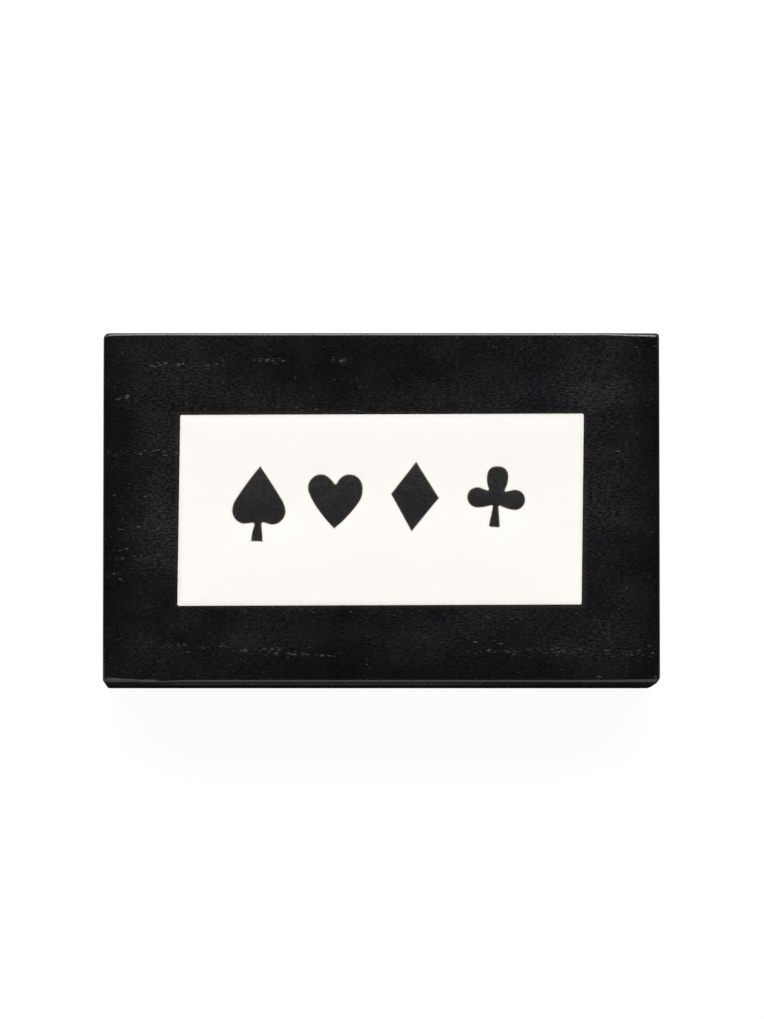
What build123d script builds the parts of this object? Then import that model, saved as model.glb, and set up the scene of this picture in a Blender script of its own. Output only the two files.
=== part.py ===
from build123d import *
import os
from math import cos, radians, sin, tan

# A low box for two decks of playing cards, in lacquered wood. A plate is let into its hinged lid,
# and the four suits are let into the plate. X runs along the box, -Y is its front and +Z is up.
# The origin is under the middle of the box, on what it stands on. Lengths are in millimetres.

os.makedirs("parts", exist_ok=True)

# Outside of the box
length = 170
depth = 107
height = 38
front_left_corner = 1.0
front_right_corner = 1.9
back_left_corner = 1.3
back_right_corner = 1.0
top_arris = 0.9
bottom_arris = 0.8
seam_arris = 0.4

# Walls, and the seam where the lid was sawn off
wall = 7
inner_arris = 0.4
lid_height = 14
seam_gap = 0.3
glue_gap = 0.05

# Bottom board and felts
floor_thickness = 4
floor_rebate = 3.5
lining_thickness = 1
lining_margin = 0.3
foot_felt_thickness = 1
foot_felt_inset = 2.5
foot_felt_corner = 3

# Divider between the two decks
divider_thickness = 6
divider_drop = 1.5
divider_chamfer = 1
housing_depth = 2.5
scoop_radius = 14
scoop_depth = 9
scoop_corner = 4

# Lid board, whose middle hangs between the lid's rails
lid_edge_thickness = 6.5
lid_board_thickness = 8

# Plate in the lid, cut by hand a little out of square
plate_length = 123.3
plate_depth = 58.4
plate_thickness = 2.5
plate_corner = 0.5
plate_x = -0.2
plate_y = -0.7
plate_tilt = 0.2
plate_lean = 0.76
inlay_line = 0.08

# Hinges at the back, each set in from its end of the box. Their barrels are sunk between two
# bevels, which also stop the lid.
hinge_inset = 35
hinge_length = 24
leaf_width = 5.2
leaf_thickness = 1
barrel_diameter = 2.4
barrel_clearance = 0.2
knuckle_count = 3
knuckle_gap = 0.15
pin_diameter = 1.2
fixed_pin_clearance = 0.02
turning_pin_clearance = 0.05
mortise_clearance = 0.05
opening_angle = 100
stop_margin = 2

# Countersunk screws of the hinge leaves
screw_length = 6
screw_diameter = 1.6
screw_head_diameter = 2.8
screw_spacing = 14
screw_edge_distance = 2.1
screw_clearance = 0.05
countersink_angle = 90
slot_width = 0.35
slot_depth = 0.35

# Outlines of the suits, each about a middle point of its own. They were cut by hand with a fret
# saw, so the halves of the spade and the heart differ a little, and the diamond isn't quite even.
# In a chain of arcs every second point ends one arc and starts the next.
spade_tip = (0, 13.5)
spade_right_shoulder = ((3.95, 8.0), (7.0, 3.5))
spade_right_lobe = ((8.1, 1.0), (8.3, 0), (7.0, -3.05), (3.95, -4.2))
spade_right_stem = ((0.95, -3.4), (1.4, -6.95), (1.65, -9.5))
spade_left_shoulder = ((-3.95, 8.0), (-7.1, 2.95))
spade_left_lobe = ((-7.85, 1.0), (-7.95, -0.75), (-6.95, -2.95), (-4.25, -4.3))
spade_left_stem = ((-0.7, -3.75), (-1.6, -6.9), (-1.8, -9.5))
spade_waist_radius = 0.65

heart_notch = (-0.15, 4.6)
heart_right_lobe = ((0.35, 5.2), (0.75, 5.85), (4.3, 8.0), (7.75, 5.8), (8.05, 5.05), (8.2, 4.3))
heart_right_flank = ((8.05, 1.6), (6.9, -0.85), (3.6, -5.0))
heart_left_lobe = ((-1.2, 6.05), (-2.55, 7.25), (-4.25, 7.85), (-6.0, 7.5), (-8.1, 5.35))
heart_left_flank = ((-8.15, 2.35), (-7.5, 0.8), (-6.75, -0.6), (-3.7, -4.85))
heart_tip = (-0.2, -8.6)
heart_notch_radius = 0.45

# The diamond's corners, from the lowest one anticlockwise
diamond_corners = ((-0.2, -10.8), (7.45, -0.1), (-0.15, 10.5), (-7.15, 0.2))

# Right half of the club, which is even enough to be mirrored: from the top down to the neck, round
# the side lobe to the crotch, and down the stem to its heel
club_top = (0, 9.9)
club_top_lobe = ((0.85, 9.8), (1.7, 9.55), (2.65, 8.75), (3.1, 7.75), (3.1, 4.8))
club_neck = (2.05, 2.15)
club_side_lobe = ((3.3, 2.45), (4.55, 2.8), (6.25, 3.0), (7.8, 2.3), (8.6, -1.15), (5.7, -3.15))
club_underside = (3.4, -2.8)
club_crotch = (0.75, -1.85)
club_heel = (1.7, -8.75)
club_neck_radius = 0.4
club_crotch_radius = 0.45
club_heel_radius = 0.5

# Middle of each suit from the middle of the box, and its tilt
spade_place = (-37.55, -0.9)
spade_tilt = -2.3
heart_place = (-14.05, 2.15)
heart_tilt = -1.1
diamond_place = (10.1, 3.45)
diamond_tilt = -3.7
club_place = (35.05, 2.7)
club_tilt = -3.9

# Heights and places that follow from the sizes
seam = height - lid_height
base_rim = seam - seam_gap / 2
lid_rim = seam + seam_gap / 2
base_bottom = foot_felt_thickness
floor_top = base_bottom + floor_thickness
divider_top = base_rim - divider_drop
lid_edge_bottom = height - lid_edge_thickness
lid_field_bottom = height - lid_board_thickness
plate_bottom = height - plate_thickness
inside_length = length - 2 * wall
inside_depth = depth - 2 * wall
compartment_length = (inside_length - divider_thickness) / 2

# The hinge axis is as deep in the back as the barrel is thick, so the barrel stays inside the box
hinge_y = depth / 2 - barrel_diameter / 2
leaf_edge = hinge_y - leaf_width
leaf_back_edge = hinge_y - barrel_diameter / 2 - barrel_clearance
channel_radius = barrel_diameter / 2 + barrel_clearance
bevel_angle = (opening_angle + stop_margin) / 2
screw_y = leaf_edge + screw_edge_distance
hinge_places = {"left": hinge_inset - length / 2, "right": length / 2 - hinge_inset}
screw_places = [x + s * screw_spacing / 2 for x in hinge_places.values() for s in (-1, 1)]

# Room round the box that a cut runs out into
overrun = 2


# Plan of the box's outside, with its four corners eased a little differently by hand
with BuildSketch() as outline:
    Rectangle(length, depth)
    for corner, radius in (
        ((-length / 2, -depth / 2), front_left_corner),
        ((length / 2, -depth / 2), front_right_corner),
        ((-length / 2, depth / 2), back_left_corner),
        ((length / 2, depth / 2), back_right_corner),
    ):
        fillet(outline.vertices().sort_by_distance((*corner, 0))[0], radius)


def hinge_room(rim, up):
    """All that one rim gives up to the hinges: the back bevel, barrel channels, mortises and screw holes.

    up is 1 for the base's rim, which looks up, and -1 for the lid's, which looks down.
    """
    bevel_depth = depth / 2 - hinge_y + overrun
    bevel_drop = bevel_depth * tan(radians(bevel_angle))
    mortise_front = leaf_edge - mortise_clearance
    with BuildPart() as room:
        with BuildSketch(Plane.YZ.offset(-length / 2 - overrun)):
            Polygon(
                (hinge_y, seam),
                (hinge_y + bevel_depth, seam),
                (hinge_y + bevel_depth, seam - up * bevel_drop),
                align=None,
            )
        extrude(amount=length + 2 * overrun)
        for hinge_x in hinge_places.values():
            with BuildSketch(Plane.YZ.offset(hinge_x - hinge_length / 2 - barrel_clearance)):
                with Locations((hinge_y, seam)):
                    Circle(channel_radius)
            extrude(amount=hinge_length + 2 * barrel_clearance)
            with BuildSketch(Plane.XY.offset(rim - up * leaf_thickness)):
                with Locations((hinge_x, (mortise_front + hinge_y) / 2)):
                    Rectangle(hinge_length + 2 * mortise_clearance, hinge_y - mortise_front)
            extrude(amount=up * (leaf_thickness + seam_gap))
        with Locations(*[Plane((x, screw_y, rim), z_dir=(0, 0, up)) for x in screw_places]):
            Cylinder(
                screw_diameter / 2 + screw_clearance,
                screw_length + screw_clearance,
                align=(Align.CENTER, Align.CENTER, Align.MAX),
            )
    return room.part


base_hinge_room = hinge_room(base_rim, 1)
lid_hinge_room = hinge_room(lid_rim, -1)

# The base's four walls in one ring, before they are parted at the mitres
with BuildPart() as base_ring:
    with BuildSketch(Plane.XY.offset(base_bottom)):
        add(outline.sketch)
    extrude(amount=base_rim - base_bottom)
    fillet(base_ring.faces().sort_by(Axis.Z)[0].edges(), bottom_arris)
    fillet(base_ring.faces().sort_by(Axis.Z)[-1].edges(), seam_arris)
    with BuildSketch(Plane.XY.offset(base_bottom)):
        Rectangle(inside_length, inside_depth)
    extrude(amount=base_rim - base_bottom, mode=Mode.SUBTRACT)
    rim_face = base_ring.faces().filter_by(Axis.Z).sort_by(Axis.Z)[-1]
    fillet(rim_face.inner_wires()[0].edges(), inner_arris)
    with BuildSketch(Plane.XY.offset(base_bottom)):
        Rectangle(inside_length + 2 * floor_rebate, inside_depth + 2 * floor_rebate)
    extrude(amount=floor_thickness, mode=Mode.SUBTRACT)
    with BuildSketch(Plane.XY.offset(floor_top)):
        Rectangle(divider_thickness + 2 * glue_gap, inside_depth + 2 * housing_depth)
    extrude(amount=divider_top + glue_gap - floor_top, mode=Mode.SUBTRACT)
    add(base_hinge_room, mode=Mode.SUBTRACT)

# The lid's four rails in one ring
with BuildPart() as lid_ring:
    with BuildSketch(Plane.XY.offset(lid_rim)):
        add(outline.sketch)
    extrude(amount=lid_edge_bottom - lid_rim)
    fillet(lid_ring.faces().sort_by(Axis.Z)[0].edges(), seam_arris)
    with BuildSketch(Plane.XY.offset(lid_rim)):
        Rectangle(inside_length, inside_depth)
    extrude(amount=lid_edge_bottom - lid_rim, mode=Mode.SUBTRACT)
    rim_face = lid_ring.faces().filter_by(Axis.Z).sort_by(Axis.Z)[0]
    fillet(rim_face.inner_wires()[0].edges(), inner_arris)
    add(lid_hinge_room, mode=Mode.SUBTRACT)

# The outer corners that each side of the box runs between, as signs of X and Y
side_ends = {
    "front": ((-1, -1), (1, -1)),
    "back": ((1, 1), (-1, 1)),
    "left": ((-1, 1), (-1, -1)),
    "right": ((1, -1), (1, 1)),
}


def mitred_plan(side):
    """Plan of one side of the box, cut through both its corners."""
    (start_x, start_y), (end_x, end_y) = side_ends[side]
    return Polygon(
        (start_x * length / 2, start_y * depth / 2),
        (end_x * length / 2, end_y * depth / 2),
        (end_x * inside_length / 2, end_y * inside_depth / 2),
        (start_x * inside_length / 2, start_y * inside_depth / 2),
        align=None,
    )


for side in side_ends:
    with BuildPart() as base_wall:
        with BuildSketch(Plane.XY.offset(base_bottom)):
            mitred_plan(side)
        extrude(amount=base_rim - base_bottom)
        add(base_ring.part, mode=Mode.INTERSECT)
    base_wall.part.label = f"base_{side}_wall"
    export_step(base_wall.part, f"parts/base_{side}_wall.step")

for side in side_ends:
    with BuildPart() as lid_rail:
        with BuildSketch(Plane.XY.offset(lid_rim)):
            mitred_plan(side)
        extrude(amount=lid_edge_bottom - lid_rim)
        add(lid_ring.part, mode=Mode.INTERSECT)
    lid_rail.part.label = f"lid_{side}_rail"
    export_step(lid_rail.part, f"parts/lid_{side}_rail.step")

# Bottom board, let up into the walls from below
with BuildPart() as base_floor:
    with BuildSketch(Plane.XY.offset(base_bottom)):
        Rectangle(
            inside_length + 2 * (floor_rebate - glue_gap),
            inside_depth + 2 * (floor_rebate - glue_gap),
        )
    extrude(amount=floor_thickness)
base_floor.part.label = "base_floor"
export_step(base_floor.part, "parts/base_floor.step")

# Divider, housed in the front and back walls, with a scoop for the fingers
with BuildPart() as divider:
    with BuildSketch(Plane.YZ.offset(-divider_thickness / 2)) as divider_side:
        with Locations((0, (floor_top + divider_top) / 2)):
            Rectangle(
                inside_depth + 2 * (housing_depth - glue_gap),
                divider_top - floor_top,
            )
        with Locations((0, divider_top - scoop_depth + scoop_radius)):
            Circle(scoop_radius, mode=Mode.SUBTRACT)
        scoop_ends = divider_side.vertices().sort_by_distance((0, divider_top, 0))[:2]
        fillet(scoop_ends, scoop_corner)
    extrude(amount=divider_thickness)
    top_edges = divider.edges().filter_by(Axis.Y).group_by(Axis.Z)[-1]
    scoop_edges = divider.edges().filter_by(GeomType.CIRCLE)
    chamfer(top_edges + scoop_edges, divider_chamfer)
divider.part.label = "divider"
export_step(divider.part, "parts/divider.step")

# Felt on the floor of each compartment
for side, sign in (("left", -1), ("right", 1)):
    with BuildPart() as floor_lining:
        with BuildSketch(Plane.XY.offset(floor_top)):
            with Locations((sign * (divider_thickness + compartment_length) / 2, 0)):
                Rectangle(
                    compartment_length - 2 * lining_margin,
                    inside_depth - 2 * lining_margin,
                )
        extrude(amount=lining_thickness)
    floor_lining.part.label = f"floor_lining_{side}"
    export_step(floor_lining.part, f"parts/floor_lining_{side}.step")

# Felt under the box, over the joint between bottom board and walls
with BuildPart() as foot_felt:
    with BuildSketch():
        RectangleRounded(
            length - 2 * foot_felt_inset,
            depth - 2 * foot_felt_inset,
            foot_felt_corner,
        )
    extrude(amount=foot_felt_thickness)
foot_felt.part.label = "foot_felt"
export_step(foot_felt.part, "parts/foot_felt.step")

# Plan of the plate, an almost square-cut oblong that leans a little to the right
half_along = Vector(cos(radians(plate_tilt)), sin(radians(plate_tilt))) * plate_length / 2
half_across = Vector(sin(radians(plate_lean)), cos(radians(plate_lean))) * plate_depth / 2
with BuildSketch() as plate_plan:
    plate_middle = Vector(plate_x, plate_y)
    Polygon(
        plate_middle - half_along - half_across,
        plate_middle + half_along - half_across,
        plate_middle + half_along + half_across,
        plate_middle - half_along + half_across,
        align=None,
    )
    fillet(plate_plan.vertices(), plate_corner)

# Lid board, rebated round its edge to sit on the rails, with the recess for the plate
with BuildPart() as lid_board:
    with BuildSketch(Plane.XY.offset(lid_edge_bottom)):
        add(outline.sketch)
    extrude(amount=lid_edge_thickness)
    fillet(lid_board.faces().sort_by(Axis.Z)[-1].edges(), top_arris)
    with BuildSketch(Plane.XY.offset(lid_field_bottom)):
        Rectangle(inside_length - 2 * glue_gap, inside_depth - 2 * glue_gap)
    extrude(amount=lid_board_thickness - lid_edge_thickness)
    with BuildSketch(Plane.XY.offset(plate_bottom)):
        add(plate_plan.sketch)
        offset(amount=inlay_line)
    extrude(amount=plate_thickness, mode=Mode.SUBTRACT)
lid_board.part.label = "lid_board"
export_step(lid_board.part, "parts/lid_board.step")

# Felt on the underside of the lid board
with BuildPart() as lid_lining:
    with BuildSketch(Plane.XY.offset(lid_field_bottom)):
        Rectangle(inside_length - 2 * lining_margin, inside_depth - 2 * lining_margin)
    extrude(amount=-lining_thickness)
lid_lining.part.label = "lid_lining"
export_step(lid_lining.part, "parts/lid_lining.step")


def chain_of_arcs(*points):
    """Arcs in a row, each through three of the points: every second point joins two arcs."""
    for first in range(0, len(points) - 2, 2):
        ThreePointArc(*points[first:first + 3])


def corners_at(plan, *points):
    """The corners of a plan that lie nearest to the given points."""
    return [plan.vertices().sort_by_distance((*point, 0))[0] for point in points]


# Plans of the suits
with BuildSketch() as spade_plan:
    with BuildLine():
        for shoulder, lobe, stem in (
            (spade_right_shoulder, spade_right_lobe, spade_right_stem),
            (spade_left_shoulder, spade_left_lobe, spade_left_stem),
        ):
            chain_of_arcs(spade_tip, *shoulder, *lobe)
            Line(lobe[-1], stem[0])
            ThreePointArc(*stem)
        Line(spade_right_stem[-1], spade_left_stem[-1])
    make_face()
    spade_waists = corners_at(spade_plan, spade_right_stem[0], spade_left_stem[0])
    fillet(spade_waists, spade_waist_radius)

with BuildSketch() as heart_plan:
    with BuildLine():
        chain_of_arcs(heart_notch, *heart_right_lobe, *heart_right_flank, heart_tip)
        chain_of_arcs(heart_notch, *heart_left_lobe, *heart_left_flank, heart_tip)
    make_face()
    fillet(corners_at(heart_plan, heart_notch), heart_notch_radius)

with BuildSketch() as diamond_plan:
    Polygon(*diamond_corners, align=None)

with BuildSketch() as club_plan:
    with BuildLine():
        chain_of_arcs(club_top, *club_top_lobe, club_neck)
        chain_of_arcs(club_neck, *club_side_lobe, club_underside, club_crotch)
        Line(club_crotch, club_heel)
        Line(club_heel, (0, club_heel[1]))
        mirror(about=Plane.YZ)
    make_face()
    for (x, y), radius in (
        (club_neck, club_neck_radius),
        (club_crotch, club_crotch_radius),
        (club_heel, club_heel_radius),
    ):
        fillet(corners_at(club_plan, (x, y), (-x, y)), radius)

suits = {
    "spade": (spade_plan, spade_place, spade_tilt),
    "heart": (heart_plan, heart_place, heart_tilt),
    "diamond": (diamond_plan, diamond_place, diamond_tilt),
    "club": (club_plan, club_place, club_tilt),
}

# Plate, fretted through for the suits
with BuildPart() as inlay_plate:
    with BuildSketch(Plane.XY.offset(plate_bottom)):
        add(plate_plan.sketch)
        for plan, place, tilt in suits.values():
            with Locations(Location(place, tilt)):
                add(plan.sketch, mode=Mode.SUBTRACT)
    extrude(amount=plate_thickness)
inlay_plate.part.label = "inlay_plate"
export_step(inlay_plate.part, "parts/inlay_plate.step")

# Each suit, one glue line smaller than its opening in the plate
for suit, (plan, place, tilt) in suits.items():
    with BuildSketch() as inlay_plan:
        add(plan.sketch)
        offset(amount=-inlay_line)
    with BuildPart() as suit_inlay:
        with BuildSketch(Plane.XY.offset(plate_bottom)):
            with Locations(Location(place, tilt)):
                add(inlay_plan.sketch)
        extrude(amount=plate_thickness)
    suit_inlay.part.label = f"{suit}_inlay"
    export_step(suit_inlay.part, f"parts/{suit}_inlay.step")


def hinge_leaf(hinge_x, rim, up, first_knuckle, pin_clearance):
    """A leaf that lies flush in a rim, with every second knuckle round the pin."""
    hinge_start = hinge_x - hinge_length / 2
    knuckle_pitch = hinge_length / knuckle_count
    leaf_middle = rim - up * leaf_thickness / 2
    with BuildPart() as leaf:
        with BuildSketch(Plane.YZ.offset(hinge_start)):
            with Locations(((leaf_edge + leaf_back_edge) / 2, leaf_middle)):
                Rectangle(leaf_back_edge - leaf_edge, leaf_thickness)
        extrude(amount=hinge_length)
        for n in range(first_knuckle, knuckle_count, 2):
            knuckle_start = hinge_start + n * knuckle_pitch + knuckle_gap / 2
            with BuildSketch(Plane.YZ.offset(knuckle_start)):
                with Locations((hinge_y, seam)):
                    Circle(barrel_diameter / 2)
                with Locations(((leaf_edge + hinge_y) / 2, leaf_middle)):
                    Rectangle(hinge_y - leaf_edge, leaf_thickness)
            extrude(amount=knuckle_pitch - knuckle_gap)
        with BuildSketch(Plane.YZ.offset(hinge_start)):
            with Locations((hinge_y, seam)):
                Circle(pin_diameter / 2 + pin_clearance)
        extrude(amount=hinge_length, mode=Mode.SUBTRACT)
        own_screws = [x for x in screw_places if abs(x - hinge_x) < hinge_length / 2]
        with Locations(*[Plane((x, screw_y, rim), z_dir=(0, 0, up)) for x in own_screws]):
            CounterSinkHole(
                screw_diameter / 2 + screw_clearance,
                screw_head_diameter / 2 + screw_clearance,
                depth=leaf_thickness,
                counter_sink_angle=countersink_angle,
            )
    return leaf.part


for side, hinge_x in hinge_places.items():
    base_leaf = hinge_leaf(hinge_x, base_rim, 1, 0, fixed_pin_clearance)
    base_leaf.label = f"hinge_base_leaf_{side}"
    export_step(base_leaf, f"parts/hinge_base_leaf_{side}.step")

    lid_leaf = hinge_leaf(hinge_x, lid_rim, -1, 1, turning_pin_clearance)
    lid_leaf.label = f"hinge_lid_leaf_{side}"
    export_step(lid_leaf, f"parts/hinge_lid_leaf_{side}.step")

    with BuildPart() as hinge_pin:
        with BuildSketch(Plane.YZ.offset(hinge_x - hinge_length / 2)):
            with Locations((hinge_y, seam)):
                Circle(pin_diameter / 2)
        extrude(amount=hinge_length)
    hinge_pin.part.label = f"hinge_pin_{side}"
    export_step(hinge_pin.part, f"parts/hinge_pin_{side}.step")

# One screw, with its head's face up and a plain shank
head_cone = (screw_head_diameter - screw_diameter) / 2 / tan(radians(countersink_angle / 2))
with BuildPart() as screw:
    with BuildSketch(Plane.XZ):
        Polygon(
            (0, 0),
            (screw_head_diameter / 2, 0),
            (screw_diameter / 2, -head_cone),
            (screw_diameter / 2, -screw_length),
            (0, -screw_length),
            align=None,
        )
    revolve(axis=Axis.Z)
    with BuildSketch():
        Rectangle(screw_head_diameter + overrun, slot_width)
    extrude(amount=-slot_depth, mode=Mode.SUBTRACT)

for body, rim, up in (("base", base_rim, 1), ("lid", lid_rim, -1)):
    with BuildPart() as leaf_screws:
        with Locations(*[Plane((x, screw_y, rim), z_dir=(0, 0, up)) for x in screw_places]):
            add(screw.part)
    leaf_screws.part.label = f"{body}_leaf_screws"
    export_step(leaf_screws.part, f"parts/{body}_leaf_screws.step")
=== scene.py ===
# %% [markdown]
# # A box for two decks of cards, in black lacquer
# The real thing is a low wooden box with a hinged lid, lacquered black so thinly that the pores of
# the wood still show. A warm white plate is let into the lid, and a spade, a heart, a diamond and
# a club of dark wood are let into the plate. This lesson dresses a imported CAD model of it. The CAD
# bodies are the frame: nothing of them is moved, and each new piece is built in their place.

# %% The frame
import bpy
import bmesh
import math
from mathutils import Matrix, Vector, noise


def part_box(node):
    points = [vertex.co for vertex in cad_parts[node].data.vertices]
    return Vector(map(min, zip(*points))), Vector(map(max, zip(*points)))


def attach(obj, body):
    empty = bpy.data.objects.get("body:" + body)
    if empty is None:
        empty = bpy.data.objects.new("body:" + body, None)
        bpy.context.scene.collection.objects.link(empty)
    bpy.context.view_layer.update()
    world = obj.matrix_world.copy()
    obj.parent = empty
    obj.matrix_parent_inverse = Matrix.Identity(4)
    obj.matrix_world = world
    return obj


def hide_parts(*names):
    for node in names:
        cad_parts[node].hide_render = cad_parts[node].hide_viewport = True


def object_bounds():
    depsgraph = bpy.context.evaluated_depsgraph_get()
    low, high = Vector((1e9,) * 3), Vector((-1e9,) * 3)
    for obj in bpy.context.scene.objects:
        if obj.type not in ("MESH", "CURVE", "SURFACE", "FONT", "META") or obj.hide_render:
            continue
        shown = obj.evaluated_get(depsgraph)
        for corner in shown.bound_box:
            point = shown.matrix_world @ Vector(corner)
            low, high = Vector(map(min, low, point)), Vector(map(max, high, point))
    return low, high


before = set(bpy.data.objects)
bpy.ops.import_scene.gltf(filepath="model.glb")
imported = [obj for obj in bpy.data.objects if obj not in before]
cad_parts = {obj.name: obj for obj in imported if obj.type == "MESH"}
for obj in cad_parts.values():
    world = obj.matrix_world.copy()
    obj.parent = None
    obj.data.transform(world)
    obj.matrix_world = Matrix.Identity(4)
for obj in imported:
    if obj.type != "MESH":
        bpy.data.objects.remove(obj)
cad_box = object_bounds()
MM = 0.001
HALF_LENGTH, HALF_DEPTH = (v / MM for v in cad_box[1].xy)
print("CAD box in mm:", [round(v / MM, 2) for corner in cad_box for v in corner])

# %% [markdown]
# ## The camera
# The photograph looks almost straight down, and shows a strip of the front only 6 pixels deep.
# The lower front corners lie 4 pixels inside the upper ones, and that tells how far away the
# camera is: about 2.45 m. A long lens at that distance keeps the lid nearly free of perspective.
# The camera is moved by fractions of a millimetre to frame the box as the photograph does, and
# needs no lens shift.

# %% Camera
IMAGE_HEIGHT = 1019
PIXELS_PER_MM = 3.275
CAMERA_DISTANCE = 2.45
CAMERA_ELEVATION = math.radians(85.85)
FRAME_RIGHT, FRAME_DOWN = 0.6, 2.15  # pixels
SENSOR = 36

lid_top = cad_box[1].z
look = Vector((0, math.cos(CAMERA_ELEVATION), -math.sin(CAMERA_ELEVATION)))
upward = Vector((0, math.sin(CAMERA_ELEVATION), math.cos(CAMERA_ELEVATION)))
lens = bpy.data.cameras.new("long_lens")
lens.sensor_width = SENSOR
lens.lens = SENSOR * PIXELS_PER_MM * CAMERA_DISTANCE / MM / IMAGE_HEIGHT
lens.clip_start, lens.clip_end = 0.1, 20
camera = bpy.data.objects.new("camera", lens)
bpy.context.collection.objects.link(camera)
framing = (Vector((FRAME_RIGHT, 0, 0)) - FRAME_DOWN * upward) / PIXELS_PER_MM * MM
camera.location = Vector((0, 0, lid_top)) - look * CAMERA_DISTANCE + framing
camera.rotation_mode = "QUATERNION"
camera.rotation_quaternion = look.to_track_quat("-Z", "Y")
bpy.context.scene.camera = camera
print("focal length in mm:", round(lens.lens, 1))

# %% [markdown]
# ## Helpers for finishes
# A finish is a small graph of nodes. `new_finish` starts one with a single shader, and `put` adds
# a node and wires its inputs in one line, so the graphs below read from the surface inwards. The
# other helpers are what the graphs are made of: places, distances, patterns and arithmetic. All of
# it is measured in the box's own millimetres, so a pattern keeps its size and moves with its piece.

# %% Helpers for finishes
WHITE = (1, 1, 1, 1)


def emptied_tree(owner):
    """The node tree of a material or a world, with nothing in it."""
    owner.use_nodes = True
    owner.node_tree.nodes.clear()
    return owner.node_tree


def new_finish(name, **settings):
    """A material with one Principled shader, whose plain sockets are set from settings."""
    finish = bpy.data.materials.new(name)
    tree = emptied_tree(finish)
    surface = tree.nodes.new("ShaderNodeOutputMaterial")
    shader = tree.nodes.new("ShaderNodeBsdfPrincipled")
    tree.links.new(shader.outputs["BSDF"], surface.inputs["Surface"])
    for socket, value in settings.items():
        shader.inputs[socket.replace("_", " ")].default_value = value
    return finish, tree, shader


def put(tree, kind, inputs=None, **settings):
    """A node of that kind. Each input is a value, or the socket that feeds it."""
    node = tree.nodes.new("ShaderNode" + kind)
    for key, value in settings.items():
        setattr(node, key, value)
    for key, value in (inputs or {}).items():
        if isinstance(value, bpy.types.NodeSocket):
            tree.links.new(value, node.inputs[key])
        else:
            node.inputs[key].default_value = value
    return node


def feed(tree, shader, **sockets):
    """Wires sockets of the shader, such as Base_Color or Roughness."""
    for socket, source in sockets.items():
        tree.links.new(source, shader.inputs[socket.replace("_", " ")])


def numbers(tree, kind, total, *others):
    """Arithmetic on two or more numbers from the left, such as ADD or MULTIPLY."""
    for other in others:
        total = put(tree, "Math", {0: total, 1: other}, operation=kind).outputs[0]
    return total


def vectors(tree, kind, *inputs):
    """Arithmetic on vectors, such as SUBTRACT or ABSOLUTE."""
    return put(tree, "VectorMath", dict(enumerate(inputs)), operation=kind).outputs[0]


def length_of(tree, vector):
    """How long a vector is."""
    return put(tree, "VectorMath", {0: vector}, operation="LENGTH").outputs[1]


def location(tree):
    """Where a point of the surface lies, in metres."""
    return put(tree, "TexCoord").outputs["Object"]


def coordinate(tree, axis):
    """Where a point of the surface lies along X, Y or Z, in metres. axis is 0, 1 or 2."""
    return put(tree, "SeparateXYZ", {0: location(tree)}).outputs[axis]


def past_oblong(tree, middle, half):
    """How far a point lies outside an oblong, with X, Y and Z apart. Inside, that's negative."""
    away = vectors(tree, "ABSOLUTE", vectors(tree, "SUBTRACT", location(tree), middle))
    return vectors(tree, "SUBTRACT", away, half)


def distance_from_oblong(tree, middle, half):
    """How far a point lies from an oblong, in metres, and 0 inside it."""
    return length_of(tree, vectors(tree, "MAXIMUM", past_oblong(tree, middle, half), (0, 0, 0)))


def place_in(tree, cell_mm, turned=0.0):
    """Where a point of the surface lies, counted in cells of that many millimetres each way."""
    turn = put(tree, "Mapping", {"Vector": location(tree), "Rotation": (0, 0, turned)})
    size = tuple(1 / (c * MM) for c in cell_mm)
    return put(tree, "Mapping", {"Vector": turn.outputs[0], "Scale": size}).outputs[0]


def clouds(tree, cell_mm, detail=3.0, roughness=0.5, turned=0.0):
    """Soft noise between 0 and 1, with that cell size in millimetres."""
    place = place_in(tree, cell_mm, turned)
    inputs = {"Vector": place, "Scale": 1.0, "Detail": detail, "Roughness": roughness}
    return put(tree, "TexNoise", inputs).outputs["Fac"]


def spread(tree, value, low, high, to_low=0.0, to_high=1.0, smooth=False):
    """Stretches value from low..high to to_low..to_high and cuts off what is beyond."""
    kind = "SMOOTHSTEP" if smooth else "LINEAR"
    inputs = {0: value, 1: low, 2: high, 3: to_low, 4: to_high}
    return put(tree, "MapRange", inputs, interpolation_type=kind, clamp=True).outputs[0]


def blend_colours(tree, share, a, b):
    """Colour a where share is 0 and colour b where it is 1."""
    inputs = {0: share, 6: a, 7: b}
    return put(tree, "Mix", inputs, data_type="RGBA").outputs[2]


def relief(tree, shader, *layers):
    """Bumps the surface. Each layer is (height, depth in millimetres)."""
    normal = None
    for height, depth in layers:
        inputs = {"Height": height, "Distance": depth * MM, "Strength": 1.0}
        if normal is not None:
            inputs["Normal"] = normal
        normal = put(tree, "Bump", inputs).outputs[0]
    feed(tree, shader, Normal=normal)


# %% [markdown]
# ## Black lacquer over open grain
# Close up, the black isn't even. The lacquer has sunk into the pores of the wood, and these catch
# the light as short pale dashes, each a third of a millimetre thick and up to two long. Between
# them is a smoky haze with a fine broken grain. Long thin cells of a Voronoi pattern make the
# dashes: each cell holds one, and a slow noise decides which cells are open, so they gather in
# rows along the grain, as the wood grew. The haze is one slow noise times one fine noise of many
# octaves. A single octave would look woven. Here and there, and more to the right, the haze has a
# violet cast, as thin black lacquer has. The open pores are also grooves in the relief.

# %% Lacquer
LACQUER = (0.0006, 0.0006, 0.0009, 1)
LACQUER_SMOKE, VIOLET_SMOKE = (0.0415, 0.0410, 0.0403, 1), (0.0435, 0.0375, 0.047, 1)
VIOLET_FROM, VIOLET_TO, VIOLET_LEFT = -55, -15, 0.15
PORE = (0.060, 0.060, 0.063, 1)
SCUFF = (0.037, 0.036, 0.037, 1)
GLUE_HAZE = (0.034, 0.0275, 0.023, 1)
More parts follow.
